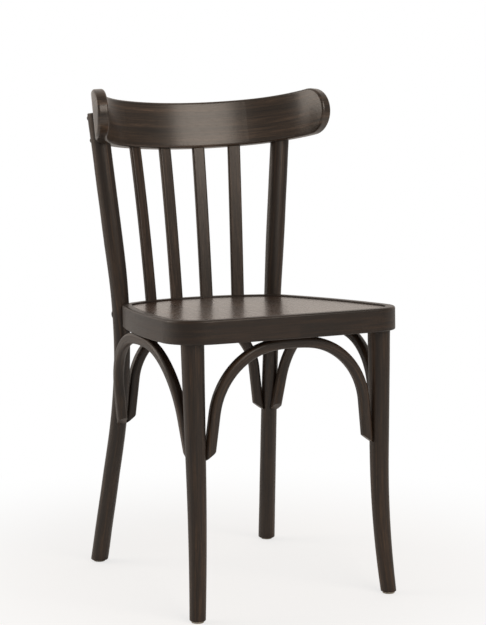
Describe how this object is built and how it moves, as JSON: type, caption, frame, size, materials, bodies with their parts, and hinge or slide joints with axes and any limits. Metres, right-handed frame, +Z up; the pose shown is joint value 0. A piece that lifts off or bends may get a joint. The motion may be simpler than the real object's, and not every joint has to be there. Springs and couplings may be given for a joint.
{
  "type": "bentwood bistro chair",
  "caption": "Bentwood dining chair with a wrapped crest rail, flat vertical slats, a round-cornered panel seat and bent arches bracing the splayed legs.",
  "frame": {"origin": "the middle of the chair's bounding box on the floor, under the four glides", "axes": "+Z up, the chair faces -Y (the sitter looks along -Y), +X is to the right as seen from the front"},
  "size_m": [0.4376, 0.4527, 0.8218],
  "materials": {
    "stained_beech": "dark walnut stain on steam-bent beech under satin lacquer",
    "stained_plywood": "dark walnut stain on plywood under a glossier satin lacquer",
    "raw_beech": "bare beech, unseen inside the seat ring",
    "dark_steel": "dark browned steel",
    "glide_plastic": "moulded pale plastic"
  },
  "bodies": {
    "root": {"seat_ring": "stained_beech", "crest_rail": "stained_beech", "front_leg_left": "stained_beech", "front_leg_right": "stained_beech", "rear_leg_left": "stained_beech", "rear_leg_right": "stained_beech", "back_slat_1": "stained_beech", "back_slat_2": "stained_beech", "back_slat_3": "stained_beech", "back_slat_4": "stained_beech", "front_arch": "stained_beech", "rear_arch": "stained_beech", "left_arch": "stained_beech", "right_arch": "stained_beech", "seat_panel": "stained_plywood", "corner_block_left": "raw_beech", "corner_block_right": "raw_beech", "crest_screws": "dark_steel", "arch_foot_screws": "dark_steel", "arch_crown_screws": "dark_steel", "seat_bolts": "dark_steel", "seat_bolt_washers": "dark_steel", "seat_bolt_nuts": "dark_steel", "front_glide_left": "glide_plastic", "front_glide_right": "glide_plastic", "rear_glide_left": "glide_plastic", "rear_glide_right": "glide_plastic"}
  },
  "joints": []
}
